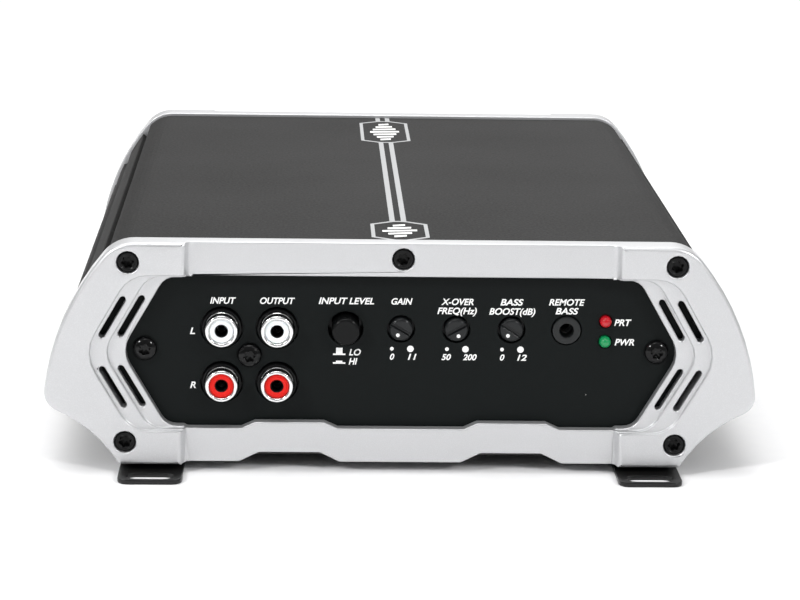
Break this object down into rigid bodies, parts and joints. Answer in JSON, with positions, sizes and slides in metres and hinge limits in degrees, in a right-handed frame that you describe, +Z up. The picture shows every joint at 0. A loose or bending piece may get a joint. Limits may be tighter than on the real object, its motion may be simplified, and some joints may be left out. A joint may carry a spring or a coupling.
{
  "type": "car amplifier",
  "caption": "Compact car audio amplifier: finned charcoal extrusion between silver hexagon-windowed end caps, with phono jacks, trim controls, wiring terminals and slotted feet.",
  "frame": {"origin": "under the middle of the body, on the surface that the four feet stand on", "axes": "+X to the right when facing the control panel, +Y from the control panel to the wiring panel, +Z up"},
  "size_m": [0.18, 0.206, 0.0603],
  "materials": {
    "silver_paint": "satin silver-grey paint on cast aluminium",
    "charcoal_coat": "fine charcoal powder coat on extruded aluminium",
    "black_steel": "satin black paint on sheet steel",
    "black_panel": "matte black paint on sheet aluminium",
    "black_screw": "glossy black oxide",
    "black_plastic": "moulded black plastic",
    "chrome_shell": "polished nickel plating",
    "white_plastic": "white moulded insulator",
    "red_plastic": "red moulded insulator",
    "red_lens": "clear-tinted red epoxy",
    "green_lens": "clear-tinted green epoxy",
    "fuse_plastic": "translucent tan plastic",
    "board": "solder-masked glass laminate",
    "winding": "enamelled copper wire",
    "sleeve": "shrink sleeve on an aluminium can"
  },
  "bodies": {
    "case": {"front_end_cap": "silver_paint", "rear_end_cap": "silver_paint", "heatsink": "charcoal_coat", "bottom_cover": "black_steel", "foot_front_left": "black_steel", "foot_front_right": "black_steel", "foot_rear_left": "black_steel", "foot_rear_right": "black_steel", "front_panel": "black_panel", "rear_panel": "black_panel", "front_cap_screw_top_left": "black_screw", "front_cap_screw_top_right": "black_screw", "front_cap_screw_base_left": "black_screw", "front_cap_screw_base_right": "black_screw", "front_cap_screw_top_middle": "black_screw", "rear_cap_screw_top_left": "black_screw", "rear_cap_screw_top_right": "black_screw", "rear_cap_screw_base_left": "black_screw", "rear_cap_screw_base_right": "black_screw", "rear_cap_screw_top_middle": "black_screw", "front_panel_screw_left": "black_screw", "front_panel_screw_right": "black_screw", "rear_panel_screw_left": "black_screw", "rear_panel_screw_right": "black_screw", "jack_screw": "black_screw", "foot_screw_front_left": "black_screw", "foot_screw_front_right": "black_screw", "foot_screw_rear_left": "black_screw", "foot_screw_rear_right": "black_screw", "jack_housing": "black_plastic", "level_switch": "black_plastic", "gain_potentiometer": "black_plastic", "xover_potentiometer": "black_plastic", "bass_potentiometer": "black_plastic", "remote_jack": "black_plastic", "power_terminal_block": "black_plastic", "speaker_terminal_block": "black_plastic", "fuse_holder": "black_plastic", "transistor_row_left": "black_plastic", "transistor_row_right": "black_plastic", "jack_shell_in_left": "chrome_shell", "jack_shell_out_left": "chrome_shell", "jack_shell_in_right": "chrome_shell", "jack_shell_out_right": "chrome_shell", "jack_insulator_in_left": "white_plastic", "jack_insulator_out_left": "white_plastic", "jack_insulator_in_right": "red_plastic", "jack_insulator_out_right": "red_plastic", "protect_led": "red_lens", "power_led": "green_lens", "main_board": "board", "power_toroid": "winding", "supply_capacitor_1": "sleeve", "supply_capacitor_2": "sleeve"},
    "level_button": {"level_button": "black_plastic"},
    "gain_knob": {"gain_knob": "black_plastic"},
    "xover_knob": {"xover_knob": "black_plastic"},
    "bass_knob": {"bass_knob": "black_plastic"},
    "fuse_1": {"fuse_1": "fuse_plastic"},
    "fuse_2": {"fuse_2": "fuse_plastic"}
  },
  "joints": [
    {"name": "level_button_press", "type": "slide", "parent": "case", "child": "level_button", "axis": [0, 1, 0], "range_m": [0, 0.0025], "stiffness_N_per_m": 400, "springref_m": -0.002},
    {"name": "gain_turn", "type": "hinge", "parent": "case", "child": "gain_knob", "pos_m": [-0.0002, -0.09, 0.0373], "axis": [0, 1, 0], "range_deg": [0, 310]},
    {"name": "xover_turn", "type": "hinge", "parent": "case", "child": "xover_knob", "pos_m": [0.0138, -0.09, 0.0373], "axis": [0, 1, 0], "range_deg": [-310, 0]},
    {"name": "bass_turn", "type": "hinge", "parent": "case", "child": "bass_knob", "pos_m": [0.0278, -0.09, 0.0373], "axis": [0, 1, 0], "range_deg": [-8, 302]},
    {"name": "fuse_1_pull", "type": "slide", "parent": "case", "child": "fuse_1", "axis": [0, 1, 0], "range_m": [0, 0.0127]},
    {"name": "fuse_2_pull", "type": "slide", "parent": "case", "child": "fuse_2", "axis": [0, 1, 0], "range_m": [0, 0.0127]}
  ]
}
